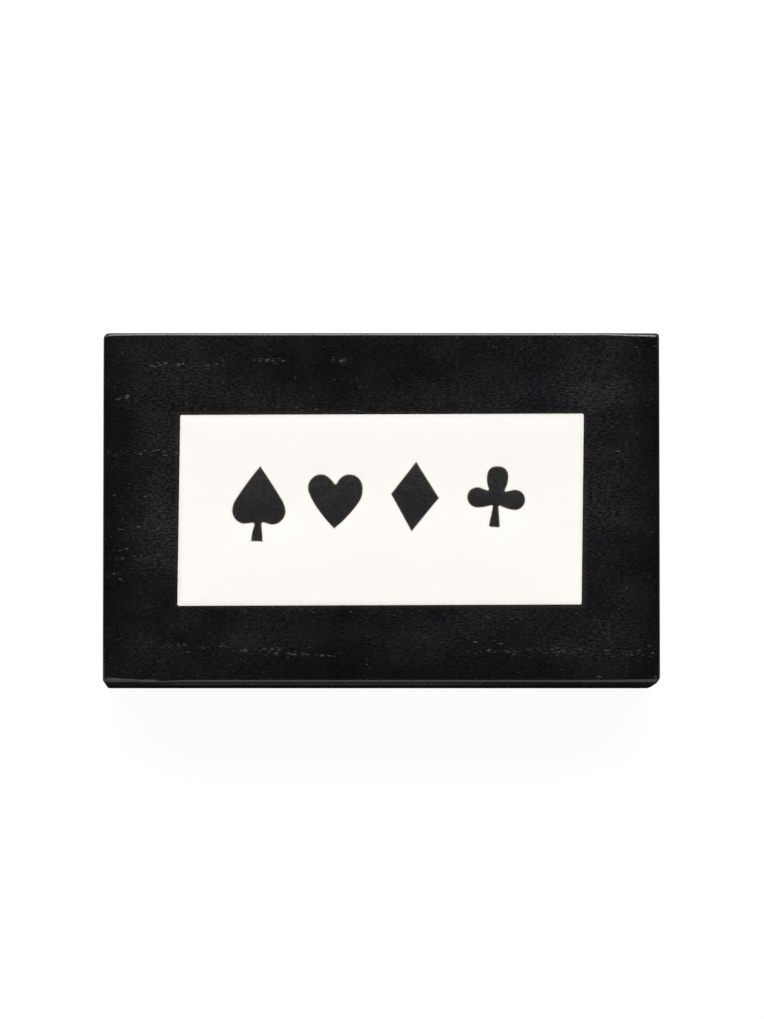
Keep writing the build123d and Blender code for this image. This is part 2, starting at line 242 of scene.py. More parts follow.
# Cells of the patterns in millimetres, along the grain, across it and in depth
SMOKE_CELL, GRAIN_CELL, VIOLET_CELL = (30, 15, 15), (1.4, 0.5, 0.5), (26, 12, 12)
ROW_CELL, LONG_DASH = (70, 2.4, 2.4), (1.9, 0.42, 0.42)
GATHER_CELL, SHORT_DASH = (18, 9, 9), (1.1, 0.4, 0.4)
RUBBED_CELL, POLISH_CELL = (9, 9, 9), (7, 5, 5)
LEAST_SMOKE, MOST_SMOKE = 0.3, 1.05
GRAIN_FROM, GRAIN_TO = 0.435, 0.755
FAINTEST_DASH = 0.15
OPEN_IN_ROWS, OTHER_ROWS = 0.6, 0.25
FEWEST_SCUFFS, MOST_SCUFFS = 0.02, 0.22
SHINIEST, DULLEST, DULL_IN_PORES = 0.16, 0.26, 0.3
LACQUER_RELIEF = 0.02


def dashes(tree, cell_mm, low, high, turned, open_share):
    """Dashes in long cells: 1 inside an open one. open_share is how many of the cells are open."""
    place = place_in(tree, cell_mm, turned)
    cells = put(tree, "TexVoronoi", {"Vector": place, "Scale": 1.0}, feature="F1")
    lot = put(tree, "SeparateColor", {0: cells.outputs["Color"]})
    dash = spread(tree, cells.outputs["Distance"], low, high, 1.0, 0.0, smooth=True)
    is_open = numbers(tree, "LESS_THAN", lot.outputs[0], open_share)
    strength = spread(tree, lot.outputs[1], 0.3, 1.0, FAINTEST_DASH, 1.0)
    return numbers(tree, "MULTIPLY", dash, is_open, strength)


def lacquer(name, turned=0.0, haze_of=None, rows_of=None, stain_of=None):
    """Polished black lacquer with the grain along X, or turned by that angle about Z.

    haze_of(tree) gives more or less haze by place, rows_of(tree) says where rows of pores are, and
    stain_of(tree) how much brown glue has soaked in.
    """
    finish, tree, shader = new_finish(name, Specular_IOR_Level=0.5)
    smoke = clouds(tree, SMOKE_CELL, 5.0, 0.6, turned)
    smoke = spread(tree, smoke, 0.33, 0.67, LEAST_SMOKE, MOST_SMOKE)
    if haze_of:
        smoke = numbers(tree, "MULTIPLY", smoke, haze_of(tree))
    grain = spread(tree, clouds(tree, GRAIN_CELL, 5.0, 0.85, turned), GRAIN_FROM, GRAIN_TO)
    haze = numbers(tree, "MULTIPLY", smoke, grain)
    rows = spread(tree, clouds(tree, ROW_CELL, 1.0, 0.4, turned), 0.62, 0.68, 0.0, OPEN_IN_ROWS)
    if rows_of:
        rows = numbers(tree, "MULTIPLY", rows, OTHER_ROWS)
        rows = numbers(tree, "MAXIMUM", rows, rows_of(tree))
    in_rows = dashes(tree, LONG_DASH, 0.2, 0.48, turned, rows)
    gather = clouds(tree, GATHER_CELL, 2.0, 0.5, turned)
    gather = spread(tree, gather, 0.4, 0.7, FEWEST_SCUFFS, MOST_SCUFFS)
    scattered = dashes(tree, SHORT_DASH, 0.16, 0.4, turned, gather)
    violet = spread(tree, clouds(tree, VIOLET_CELL, 3.0, 0.6, turned), 0.42, 0.6, smooth=True)
    to_right = spread(tree, coordinate(tree, 0), VIOLET_FROM * MM, VIOLET_TO * MM, VIOLET_LEFT, 1.0)
    violet = numbers(tree, "MULTIPLY", violet, to_right)
    ground = blend_colours(tree, violet, LACQUER_SMOKE, VIOLET_SMOKE)
    ground = blend_colours(tree, haze, LACQUER, ground)
    ground = blend_colours(tree, scattered, ground, SCUFF)
    if stain_of:
        ground = blend_colours(tree, stain_of(tree), ground, GLUE_HAZE)
    pores = numbers(tree, "MAXIMUM", in_rows, numbers(tree, "MULTIPLY", scattered, 0.5))
    rubbed = clouds(tree, RUBBED_CELL, 3.0, 0.5, turned)
    gloss = spread(tree, rubbed, 0.3, 0.7, SHINIEST, DULLEST)
    gloss = numbers(tree, "ADD", gloss, numbers(tree, "MULTIPLY", pores, DULL_IN_PORES))
    feed(tree, shader, Base_Color=blend_colours(tree, in_rows, ground, PORE), Roughness=gloss)
    polish = clouds(tree, POLISH_CELL, 1.0, 0.4, turned)
    grooves = numbers(tree, "SUBTRACT", 1.0, pores)
    relief(tree, shader, (polish, LACQUER_RELIEF), (grooves, LACQUER_RELIEF))
    return finish


lacquer_along = lacquer("lacquer_grain_along")
lacquer_across = lacquer("lacquer_grain_across", turned=math.pi / 2)
print("lacquer finishes:", lacquer_along.name, lacquer_across.name)

# %% [markdown]
# ## What years of handling did to the lid
# The lid's own wood has rows of open pores at certain places, read off the photograph in
# millimetres. The haze is thickest in the back right corner and beside the plate's left end, and
# thin along the sides and the front edge, where cloths have rubbed the polish deeper. Each place is
# a soft patch: the distance from its middle, counted in its own two radii, fades it out. Painting a
# picture would be the other way, but patches have no pixels and can be moved by hand. Glue that was
# wiped off round the plate has left a brown cast, and the front edge is worn to the brown in two
# spots on its left.

# %% Haze and pore rows of the lid
PORE_ROWS = (  # from x, to x, y
    (-74, -61, 43.4), (-59, -48, 43.6), (-40, -28, 45.3), (-21, -9, 45.1), (-81.5, -75, 33.5),
    (-26, -6, 29.8), (-74.7, -63, 16.9), (-83.5, -78, 16.6), (-83, -67.5, -15.5),
    (-64, -48, -42.4), (-46, -30, -43.6), (-28, -12, -44.9), (30, 56, -44.0), (58, 83, -44.6),
)
ROW_HALF_DEPTH, ROW_FADE, ROW_STRENGTH = 0.3, 1.0, 0.75
HAZE_PATCHES = (  # x, y, radius along, radius across, how much more or less haze
    (66, 40, 20, 22, 1.15), (-68, 2, 10, 36, 0.85), (66, -6, 10, 26, 0.4), (70, -41, 14, 11, 0.05),
    (-18, 45, 40, 18, -0.8), (-14, -49, 46, 14, -0.6), (-60, 42, 22, 14, 0.25),
    (-79, 22, 8, 9, -0.5), (54, -51, 10, 8, -0.5), (-66, -22, 9, 9, -0.3), (66, -29, 10, 8, -0.3),
    (32, -46, 26, 12, -0.4),
)
RUBBED_SIDES, RUBBED_FRONT, RUBBED_REACH = 0.25, 0.4, 11
GLUE_SHARE, GLUE_REACH = 0.4, 1.2
SMEAR_CELL, LEAST_SMEAR, MOST_SMEAR = (5, 2, 2), 0.4, 1.2
WORN_SPOTS = (  # x, y, half its length and half its depth
    (-70.2, -53.1, 3.2, 0.7), (-81.2, -52.6, 1.6, 0.6),
)
WORN_DEPTH = 0.8


def in_radii(tree, x, y, along, across):
    """How far a point is from (x, y), counted in the two radii of a patch."""
    away = vectors(tree, "SUBTRACT", location(tree), (x * MM, y * MM, 0))
    share = (1 / (along * MM), 1 / (across * MM), 0)
    return length_of(tree, vectors(tree, "MULTIPLY", away, share))


def lid_haze(tree):
    """More haze in some patches and less in others, and least along the sides and the front."""
    total = 1.0
    for *patch, more in HAZE_PATCHES:
        added = spread(tree, in_radii(tree, *patch), 0.0, 1.0, more, 0.0, smooth=True)
        total = numbers(tree, "ADD", total, added)
    aside = numbers(tree, "ABSOLUTE", coordinate(tree, 0), 0)
    rubbed_from = (HALF_LENGTH - RUBBED_REACH) * MM
    sides = spread(tree, aside, rubbed_from, HALF_LENGTH * MM, 1.0, RUBBED_SIDES)
    rubbed_to = (RUBBED_REACH - HALF_DEPTH) * MM
    front = spread(tree, coordinate(tree, 1), -HALF_DEPTH * MM, rubbed_to, RUBBED_FRONT, 1.0)
    return numbers(tree, "MULTIPLY", sides, front, total)


def lid_rows(tree):
    """Near 1 along the rows of open pores."""
    nearest = 1.0
    for start, end, y in PORE_ROWS:
        middle = ((start + end) / 2 * MM, y * MM, lid_top)
        half = ((end - start) / 2 * MM, ROW_HALF_DEPTH * MM, 1)
        nearest = numbers(tree, "MINIMUM", nearest, distance_from_oblong(tree, middle, half))
    return spread(tree, nearest, 0.0, ROW_FADE * MM, ROW_STRENGTH, 0.0)


def plate_oblong():
    """The plate's middle and half its size in metres, but with a half height that never counts."""
    low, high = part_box("inlay_plate")
    half = (high - low) / 2
    half.z = 1
    return tuple((low + high) / 2), tuple(half)


def brown_haze(tree):
    """How brown the lid is: with glue round the plate, and where the front edge is worn."""
    away = distance_from_oblong(tree, *plate_oblong())
    brown = spread(tree, away, 0.0, GLUE_REACH * MM, GLUE_SHARE, 0.0)
    at_edge = spread(tree, coordinate(tree, 2), lid_top - WORN_DEPTH * MM, lid_top)
    for spot in WORN_SPOTS:
        worn = spread(tree, in_radii(tree, *spot), 0.6, 1.0, 1.0, 0.0)
        brown = numbers(tree, "MAXIMUM", brown, numbers(tree, "MULTIPLY", worn, at_edge))
    smear = spread(tree, clouds(tree, SMEAR_CELL, 3.0, 0.6), 0.3, 0.6, LEAST_SMEAR, MOST_SMEAR)
    return numbers(tree, "MULTIPLY", brown, smear)


lacquer_lid = lacquer("lacquer_of_the_lid", haze_of=lid_haze, rows_of=lid_rows, stain_of=brown_haze)
print("rows of pores:", len(PORE_ROWS), "patches of haze:", len(HAZE_PATCHES))

# %% [markdown]
# ## The grain of each wall
# A board's grain runs along its length. So the pieces at the left and right, and the divider, which
# lie along Y, get the turned finish.

# %% Lacquer on the walls and rails
GRAIN_ACROSS = ("base_left", "base_right", "lid_left", "lid_right", "divider")
GRAIN_ALONG = ("base_front", "base_back", "lid_front", "lid_back", "lid_board")


def dress(name, finish):
    """Gives a CAD node a finish in place of its plain colour."""
    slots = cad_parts[name].data.materials
    slots.clear()
    slots.append(finish)


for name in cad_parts:
    if name.startswith(GRAIN_ACROSS):
        dress(name, lacquer_across)
    elif name.startswith(GRAIN_ALONG):
        dress(name, lacquer_along)

# %% [markdown]
# ## A line round the box
# The lid's pieces follow one outline: an oblong whose four corners were eased by hand, each a
# little differently. `ring` walks once round that outline, at any distance inside it and at any
# height, and both may change from place to place. Laid over each other, such rings make a surface.
# The other helpers here read outlines off the CAD bodies, join lines with faces, and turn the
# finished mesh into a piece.

# %% Lines round the box, in millimetres
CORNERS = (  # side of X, side of Y, radius, from the front left corner towards the right
    (-1, -1, 1.0), (1, -1, 1.9), (1, 1, 1.0), (-1, 1, 1.8),
)
LEAST_CORNER = 0.02
ARC_STEPS = 8
RUN_STEPS = (150, 80, 150, 80)
SAME_POINT, NEARLY = 0.0005, 0.001


def ring(inset_at, height_at):
    """Points once round the box. inset_at and height_at take a place (x, y) on the outline."""
    arcs = []
    for k, (side_x, side_y, radius) in enumerate(CORNERS):
        x, y = side_x * HALF_LENGTH, side_y * HALF_DEPTH
        inset = inset_at(x, y)
        left_over = max(radius - inset, LEAST_CORNER)
        middle_x = x - side_x * (inset + left_over)
        middle_y = y - side_y * (inset + left_over)
        arc = []
        for j in range(ARC_STEPS + 1):
            angle = math.pi + (k + j / ARC_STEPS) * math.pi / 2
            arc.append((middle_x + left_over * math.cos(angle),
                        middle_y + left_over * math.sin(angle), height_at(x, y)))
        arcs.append(arc)
    points = []
    for k, (side_x, side_y, _) in enumerate(CORNERS):
        points += arcs[k]
        start, end = arcs[k][-1], arcs[(k + 1) % 4][0]
        for j in range(1, RUN_STEPS[k]):
            share = j / RUN_STEPS[k]
            if k % 2 == 0:
                x, y = start[0] + (end[0] - start[0]) * share, side_y * HALF_DEPTH
                points.append((x, y - side_y * inset_at(x, y), height_at(x, y)))
            else:
                x, y = side_x * HALF_LENGTH, start[1] + (end[1] - start[1]) * share
                points.append((x - side_x * inset_at(x, y), y, height_at(x, y)))
    return points


def quarter_round(steps):
    """An eased edge of radius 1: how far each point is from the side and from the flat."""
    turns = [math.pi / 2 * step / steps for step in range(steps + 1)]
    return [(1 - math.cos(turn), 1 - math.sin(turn)) for turn in turns]


def flat_line(mesh, outline, z):
    """Corners of a mesh along an outline of (x, y), all at height z."""
    return [mesh.verts.new((x, y, z)) for x, y in outline]


def make_piece(name, mesh, finish, crease=30):
    """An object from a bmesh in millimetres, smooth except at edges sharper than crease degrees."""
    for corner in mesh.verts:
        corner.co *= MM
    bmesh.ops.recalc_face_normals(mesh, faces=mesh.faces)
    for face in mesh.faces:
        face.smooth = True
    for edge in mesh.edges:
        if len(edge.link_faces) == 2 and edge.calc_face_angle() > math.radians(crease):
            edge.smooth = False
    data = bpy.data.meshes.new(name)
    mesh.to_mesh(data)
    mesh.free()
    piece = bpy.data.objects.new(name, data)
    bpy.context.collection.objects.link(piece)
    piece.data.materials.append(finish)
    return piece


def join_rings(mesh, lower, upper, closed=True):
    """Quads between two lines of the same number of points."""
    count = len(lower)
    for i in range(count if closed else count - 1):
        j = (i + 1) % count
        mesh.faces.new((lower[i], lower[j], upper[j], upper[i]))


def fill_between(mesh, *loops):
    """A flat face with holes: the first loop is its rim, the others are cut out of it."""
    edges = []
    for loop in loops:
        for i, corner in enumerate(loop):
            other = loop[(i + 1) % len(loop)]
            edges.append(mesh.edges.get((corner, other)) or mesh.edges.new((corner, other)))
    bmesh.ops.triangle_fill(mesh, use_beauty=True, use_dissolve=False, edges=edges)


def heights(node):
    """The lowest and the highest z of a CAD node."""
    return [corner.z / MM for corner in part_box(node)]


def cad_mesh(node):
    """A copy of a CAD node's mesh, whose faces share their corners."""
    mesh = bmesh.new()
    mesh.from_mesh(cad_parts[node].data)
    for corner in mesh.verts:
        corner.co /= MM
    bmesh.ops.remove_doubles(mesh, verts=mesh.verts, dist=SAME_POINT)
    return mesh


def top_outlines(node):
    """The outlines of a CAD node's flat top, longest first."""
    mesh = cad_mesh(node)
    height = heights(node)[1]
    flat = {f for f in mesh.faces
            if all(abs(c.co.z - height) < NEARLY for c in f.verts)}
    rim = [e for e in mesh.edges if sum(f in flat for f in e.link_faces) == 1]
    loops = []
    while rim:
        first = rim.pop()
        line = [first.verts[0], first.verts[1]]
        while line[-1] is not line[0]:
            following = next(e for e in rim if line[-1] in e.verts)
            rim.remove(following)
            line.append(following.other_vert(line[-1]))
        loops.append([tuple(c.co.xy) for c in line[:-1]])
    mesh.free()
    return sorted(loops, key=lambda loop: -sum(math.dist(a, b) for a, b in zip(loop, loop[1:])))


recess = top_outlines("lid_board")[1]
print("recess outline:", len(recess), "points")

# %% [markdown]
# ## Two corners sanded rounder
# On the photograph two of the upright corners are rounder than the CAD's: the back left one all the
# way down, and the front right one towards its foot. The walls that meet there have rebates,
# grooves and hinge seats which are all right, so each is a copy of its CAD body in which only the
# corner's own points move. Such a point keeps its angle round the corner's axis. The axis moves
# inwards by as much as the radius grows, so the flat sides stay where they are.

# %% Two rounder corners
SEAM = heights("base_front_wall")[1]
ROUNDER = (  # side of X, side of Y, the CAD's radius, more radius at the foot and at the seam, walls
    (1, -1, 1.9, 1.5, 0.0, ("base_front_wall", "base_right_wall")),
    (-1, 1, 1.3, 0.5, 0.5, ("base_back_wall", "base_left_wall", "lid_back_rail", "lid_left_rail")),
)


def round_more(mesh, side_x, side_y, radius, at_foot, at_seam):
    """Moves the points of one upright corner onto a larger radius."""
    moved = 0
    for point in mesh.verts:
        away_x = side_x * point.co.x - (HALF_LENGTH - radius)
        away_y = side_y * point.co.y - (HALF_DEPTH - radius)
        away = math.hypot(away_x, away_y)
        if min(away_x, away_y) < -NEARLY or away < radius / 2:
            continue
        more = at_foot + (at_seam - at_foot) * min(point.co.z / SEAM, 1)
        stretch = 1 + more / away
        point.co.x = side_x * (HALF_LENGTH - radius - more + away_x * stretch)
        point.co.y = side_y * (HALF_DEPTH - radius - more + away_y * stretch)
        moved += 1
    return moved


for *corner, walls in ROUNDER:
    for node in walls:
        mesh = cad_mesh(node)
        moved = round_more(mesh, *corner)
        finish = lacquer_across if node.startswith(GRAIN_ACROSS) else lacquer_along
        wall = make_piece(node + "_sanded", mesh, finish)
        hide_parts(node)
        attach(wall, node.split("_")[0])
        print(wall.name, moved, "points moved")

# %% [markdown]
# ## The lid board with its sanded edge
# The CAD board has an edge of one even radius. On the real lid the edge was eased with abrasive
# paper round a block: it runs almost even, and gets wider where the hand turned each corner. On
# the front, left of the middle, there is an old knock: there the edge is tighter for 8 mm. This is
# shape, not colour, because the photograph shows it as a change in the line of light. The board is
# rebuilt as eleven rings over the edge, one flat top and the recess for the plate.

# %% Lid board
EDGE_RADIUS = 0.9
EDGE_WAVER, WAVER_LENGTH, WAVER_SEED = 0.05, 9, 3.1
CORNER_WIDENING = (  # side of X, side of Y, how many times wider, and how far that reaches
    (-1, -1, 2.1, 13), (1, -1, 1.4, 15), (1, 1, 1.75, 16), (-1, 1, 1.25, 10),
)
KNOCK_START, KNOCK_END, KNOCK_SHARE = -67.9, -59.5, 0.5
EDGE_STEPS = 10
FLAT_RIM = 0.1
SHOULDER_PAST_FELT = 0.25


def edge_radius(x, y):
    """How wide the eased edge is at that place of the outline."""
    waver = noise.noise((x / WAVER_LENGTH, y / WAVER_LENGTH, WAVER_SEED))
    radius = EDGE_RADIUS * (1 + EDGE_WAVER * waver)
    for side_x, side_y, widening, reach in CORNER_WIDENING:
        away = math.dist((x, y), (side_x * HALF_LENGTH, side_y * HALF_DEPTH))
        radius *= 1 + (widening - 1) * max(0, 1 - away / reach)
    if y < 0 and KNOCK_START < x < KNOCK_END:
        share = (x - KNOCK_START) / (KNOCK_END - KNOCK_START)
        radius *= KNOCK_SHARE + (1 - KNOCK_SHARE) * share
    return radius


def lid_board():
    """The board: its eased edge, its flat top with the plate's recess, and its rebated underside."""
    board_low, board_high = heights("lid_board")[0], lid_top / MM
    edge_low = heights("lid_front_rail")[1]
    mesh = bmesh.new()
    lines = [ring(lambda x, y: 0, lambda x, y: edge_low)]
    for inwards, down in quarter_round(EDGE_STEPS):
        lines.append(ring(
            lambda x, y: edge_radius(x, y) * inwards,
            lambda x, y: board_high - edge_radius(x, y) * down,
        ))
    lines.append(ring(lambda x, y: edge_radius(x, y) + FLAT_RIM, lambda x, y: board_high))
    lines = [[mesh.verts.new(point) for point in line] for line in lines]
    for lower, upper in zip(lines, lines[1:]):
        join_rings(mesh, lower, upper)
    mouth = flat_line(mesh, recess, board_high)
    floor = flat_line(mesh, recess, heights("inlay_plate")[0])
    fill_between(mesh, lines[-1], mouth)
    join_rings(mesh, mouth, floor)
    mesh.faces.new(floor)
    half_x, half_y = (SHOULDER_PAST_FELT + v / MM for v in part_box("lid_lining")[1].xy)
    oblong = [(side_x * half_x, side_y * half_y) for side_x, side_y, _ in CORNERS]
    shoulder, foot = (flat_line(mesh, oblong, z) for z in (edge_low, board_low))
    fill_between(mesh, lines[0], shoulder)
    join_rings(mesh, shoulder, foot)
    mesh.faces.new(foot)
    return make_piece("lid_board_sanded", mesh, lacquer_lid)


board = lid_board()
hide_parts("lid_board")
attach(board, "lid")
print("lid board:", len(board.data.vertices), "points")

# %% [markdown]
# ## The front rail of the lid
# Lid and base were sawn apart after the box was glued up, and the front of the lid was planed a
# little more than the base. So in its left half it leans back by a fifth of a millimetre towards
# the seam, and the eased rim of the base shows below it as a fine lighter line.

# %% Front rail
WALL = 7
RAIL_EASE, EASE_STEPS = 0.4, 6
LEAN, LEAN_FROM, LEAN_TO = 0.2, -62, 16
FADE_LEFT, FADE_RIGHT = 12, 40
CORNER_FROM = 84


def lean_at(x):
    """How far the rail's front leans back at the seam."""
    beyond = max(LEAN_FROM - x, x - LEAN_TO, 0)
    return LEAN * max(0, 1 - beyond / (FADE_RIGHT if x > 0 else FADE_LEFT))


def front_rail():
    """The rail: one profile taken along the front, from the middle of one corner to the other."""
    low, high = heights("lid_front_rail")
    eased = [(RAIL_EASE * a, low + RAIL_EASE * b) for a, b in quarter_round(EASE_STEPS)]
    profile = [(0, 0, high)]
    profile += [(inset, 1, z) for inset, z in eased]
    profile += [(WALL - inset, 0, z) for inset, z in reversed(eased)]
    profile += [(WALL, 0, high)]
    mesh = bmesh.new()
    lines = []
    for inset, leans, z in profile:
        line = ring(
            lambda x, y: inset + (leans * lean_at(x) if y < 0 and abs(x) < CORNER_FROM else 0),
            lambda x, y: z,
        )
        line = line[ARC_STEPS // 2: ARC_STEPS + RUN_STEPS[0] + ARC_STEPS // 2 + 1]
        lines.append([mesh.verts.new(point) for point in line])
    for lower, upper in zip(lines, lines[1:] + lines[:1]):
        join_rings(mesh, lower, upper, closed=False)
    mesh.faces.new([line[0] for line in lines])
    mesh.faces.new([line[-1] for line in lines])
    return make_piece("lid_front_rail_planed", mesh, lacquer_along)


rail = front_rail()
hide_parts("lid_front_rail")
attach(rail, "lid")
print("front rail:", len(rail.data.vertices), "points")

# %% [markdown]
# ## The white plate
# The plate is a warm white sheet, ground flat and polished, and fretted through for the suits. It
# is very even: a slow change of tone that is hardly seen, a faint cloud in the gloss, and the trace
# of the last fine abrasive in the relief. It has darkened a little along its outer edges, and it is
# painted a little darker towards the back: painted shade that evens out the stronger light there.
# Its edges, and those of the openings, were eased with fine paper, and dirt has settled in them.
# So the plate is rebuilt from the CAD outlines, each with a narrow sloping rim that has a greyer
# finish. A rim is the outline moved sideways: every corner goes along the line that halves its
# angle, and further the sharper it is, so that the rim keeps its width.

# %% Plate finish
PLATE_DARKER, PLATE_LIGHTER = (0.950, 0.926, 0.882, 1), (0.970, 0.946, 0.903, 1)
# The aged colour is both real ageing along the outer edges and painted shade towards the back, where
# the tone goes a quarter of the way to it between the two y values, in millimetres.
PLATE_AGED_AND_SHADED, PLATE_RIM = (0.86, 0.835, 0.79, 1), (0.80, 0.765, 0.71, 1)
AGED_REACH, SHADE_AT_BACK, SHADE_BETWEEN = 2.2, 0.25, (-30, 30)
TONE_CELL, GLOSS_CELL, DIRT_CELL = (30, 30, 30), (12, 12, 12), (1.8, 1.8, 1.8)
ABRASIVE_CELL, ABRASIVE_TURN, ABRASIVE_RELIEF = (9, 0.35, 0.35), 0.1, 0.001
RIPPLE_CELL, RIPPLE_RELIEF = (0.8, 0.8, 0.8), 0.002

plate_finish, tree, shader = new_finish("warm_white_plate", Specular_IOR_Level=0.5)
tone = blend_colours(tree, clouds(tree, TONE_CELL, 3.0, 0.5), PLATE_DARKER, PLATE_LIGHTER)
inside = put(tree, "SeparateXYZ", {0: past_oblong(tree, *plate_oblong())})
to_edge = numbers(tree, "MAXIMUM", inside.outputs[0], inside.outputs[1])
aged_and_shaded = spread(tree, to_edge, -AGED_REACH * MM, 0.0, 0.0, 1.0, smooth=True)
# Painted shade: a little darker towards the back, where the light is stronger.
shaded_from, shaded_to = (y * MM for y in SHADE_BETWEEN)
back_shade = spread(tree, coordinate(tree, 1), shaded_from, shaded_to, 0.0, SHADE_AT_BACK)
aged_and_shaded = numbers(tree, "MAXIMUM", aged_and_shaded, back_shade)
gloss = spread(tree, clouds(tree, GLOSS_CELL, 3.0, 0.6), 0.3, 0.7, 0.3, 0.32)
feed(tree, shader, Base_Color=blend_colours(tree, aged_and_shaded, tone, PLATE_AGED_AND_SHADED), Roughness=gloss)
rubbed_along = clouds(tree, ABRASIVE_CELL, 2.0, 0.5, ABRASIVE_TURN)
ripple = clouds(tree, RIPPLE_CELL, 2.0, 0.5)
relief(tree, shader, (ripple, RIPPLE_RELIEF), (rubbed_along, ABRASIVE_RELIEF))

plate_rim, tree, shader = new_finish("greyed_plate_rim", Roughness=0.45, Specular_IOR_Level=0.4)
dirt = spread(tree, clouds(tree, DIRT_CELL, 3.0, 0.6), 0.35, 0.65)
feed(tree, shader, Base_Color=blend_colours(tree, dirt, PLATE_RIM, PLATE_AGED_AND_SHADED))
relief(tree, shader, (dirt, 0.01))

# %% Plate
PLATE_RIM_WIDTH, PLATE_RIM_DROP = 0.36, 0.03
SHARPEST = 0.2  # keeps a very sharp corner from moving too far


def moved_inwards(loop, amount):
    """The same outline, moved inwards by that amount, or outwards where it is negative."""
    turning = sum(a[0] * b[1] - b[0] * a[1] for a, b in zip(loop, loop[1:] + loop[:1]))
    side = 1 if turning > 0 else -1
    moved = []
    for i, here in enumerate(loop):
        before, after = Vector(loop[i - 1]), Vector(loop[(i + 1) % len(loop)])
        first = (Vector(here) - before).normalized()
        second = (after - Vector(here)).normalized()
        bisector = side * (first.orthogonal() + second.orthogonal())
        share = max(bisector.length_squared / 2, SHARPEST)
        moved.append(tuple(Vector(here) + bisector * amount / share))
    return moved


def rimmed_sheet(name, outlines, low, high, rim, drop, finish, rim_finish):
    """A flat sheet with holes, whose top slopes down by drop in a rim along every outline."""
    mesh = bmesh.new()
    feet, fields = [], []
    for k, outline in enumerate(outlines):
        inner = moved_inwards(outline, rim if k == 0 else -rim)
        foot = flat_line(mesh, outline, low)
        edge = flat_line(mesh, outline, high - drop)
        field = flat_line(mesh, inner, high)
        join_rings(mesh, foot, edge)
        join_rings(mesh, edge, field)
        feet.append(foot)
        fields.append(field)
    rims = mesh.faces[:]
    fill_between(mesh, *feet)
    fill_between(mesh, *fields)
    for face in rims:
        face.material_index = 1
    piece = make_piece(name, mesh, finish, crease=8)
    piece.data.materials.append(rim_finish)
    return piece


plate_outlines = top_outlines("inlay_plate")
plate = rimmed_sheet("white_plate", plate_outlines, *heights("inlay_plate"),
                     PLATE_RIM_WIDTH, PLATE_RIM_DROP, plate_finish, plate_rim)
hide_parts("inlay_plate")
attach(plate, "lid")
print("plate:", len(plate.data.vertices), "points,", len(plate_outlines) - 1, "openings")

# %% [markdown]
# ## The suits
# Each suit is cut from dark wood with a fret saw and glued into its opening. Scraped flush, its
# edge ends a few hundredths lower than the plate and has taken up brown glue, which shows as a
# thin warm rim. The same function as the plate's rebuilds each suit from its CAD outline, with
# such a rim in a finish of its own.

# %% Finishes of the suits
WOOD_DARK, WOOD_LIGHT = (0.0015, 0.0015, 0.0016, 1), (0.0255, 0.0253, 0.0262, 1)
WOOD_CELL, WOOD_CLOUD, WOOD_CONTRAST = (1.3, 0.6, 0.6), (7, 4, 4), 0.16
GLUE_DARK, GLUE_LIGHT = (0.022, 0.014, 0.010, 1), (0.075, 0.048, 0.036, 1)
GLUE_CELL = (1.6, 1.6, 1.6)


def dark_wood(name, turned, contrast):
    """Filled and polished dark wood, whose grain is hardly longer than it is wide."""
    finish, tree, shader = new_finish(name, Roughness=0.35, Specular_IOR_Level=0.4)
    grain = clouds(tree, WOOD_CELL, 5.0, 0.85, turned)
    slow = clouds(tree, WOOD_CLOUD, 2.0, 0.5, turned)
    half = WOOD_CONTRAST / contrast
    fine = spread(tree, grain, 0.5 - half, 0.5 + half)
    shade = numbers(tree, "MULTIPLY", fine, spread(tree, slow, 0.3, 0.7, 0.7, 1.3))
    feed(tree, shader, Base_Color=blend_colours(tree, shade, WOOD_DARK, WOOD_LIGHT))
    relief(tree, shader, (grain, 0.01))
    return finish


glue_stain, tree, shader = new_finish("glue_stain", Roughness=0.4, Specular_IOR_Level=0.4)
patchy = spread(tree, clouds(tree, GLUE_CELL, 3.0, 0.6), 0.35, 0.65)
feed(tree, shader, Base_Color=blend_colours(tree, patchy, GLUE_DARK, GLUE_LIGHT))
relief(tree, shader, (patchy, 0.02))

# %% Suits
SUIT_RIM_WIDTH, SUIT_RIM_DROP = 0.36, 0.05
SUITS = (  # node, how far its grain is turned, and how strong it shows
    ("spade_inlay", 0.3, 1.0),
    ("heart_inlay", -0.7, 1.1),
    ("diamond_inlay", 0.1, 1.4),
    ("club_inlay", 0.5, 1.1),
)

for node, turned, contrast in SUITS:
    wood = dark_wood(node.replace("inlay", "wood"), turned, contrast)
    outline = top_outlines(node)[:1]
    suit = rimmed_sheet(node.replace("inlay", "of_dark_wood"), outline, *heights(node),
                        SUIT_RIM_WIDTH, SUIT_RIM_DROP, wood, glue_stain)
    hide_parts(node)
    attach(suit, "lid")
    print(suit.name, len(suit.data.vertices), "points")

# %% [markdown]
# ## The glue lines
# Round the plate and round every suit runs a gap of less than a tenth of a millimetre, full of dark
# glue that has dried a little below the surface. Each is a closed strip between two CAD outlines:
# the opening's and that of the piece in it. Without them the eye would look into an empty slit.

# %% Glue lines
GLUE_TOP, GLUE_BOTTOM = 0.06, 0.8


def glue_line(name, opening, piece_outline):
    """A strip that fills the gap between an opening and what lies in it."""
    mesh = bmesh.new()
    rims = [
        [flat_line(mesh, outline, lid_top / MM - below) for outline in (opening, piece_outline)]
        for below in (GLUE_TOP, GLUE_BOTTOM)
    ]
    for outer, inner in rims:
        fill_between(mesh, outer, inner)
    for upper, lower in zip(*rims):
        join_rings(mesh, lower, upper)
    strip = make_piece(name, mesh, glue_stain)
    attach(strip, "lid")


glue_line("glue_line_plate", recess, plate_outlines[0])
for node, _, _ in SUITS:
    outline = top_outlines(node)[0]
    middle = sum((Vector(p) for p in outline), Vector((0, 0))) / len(outline)
    opening = min(plate_outlines[1:], key=lambda loop: math.dist(loop[0], middle))
    glue_line(node.replace("inlay", "glue_line"), opening, outline)
print("glue lines:", len(plate_outlines))

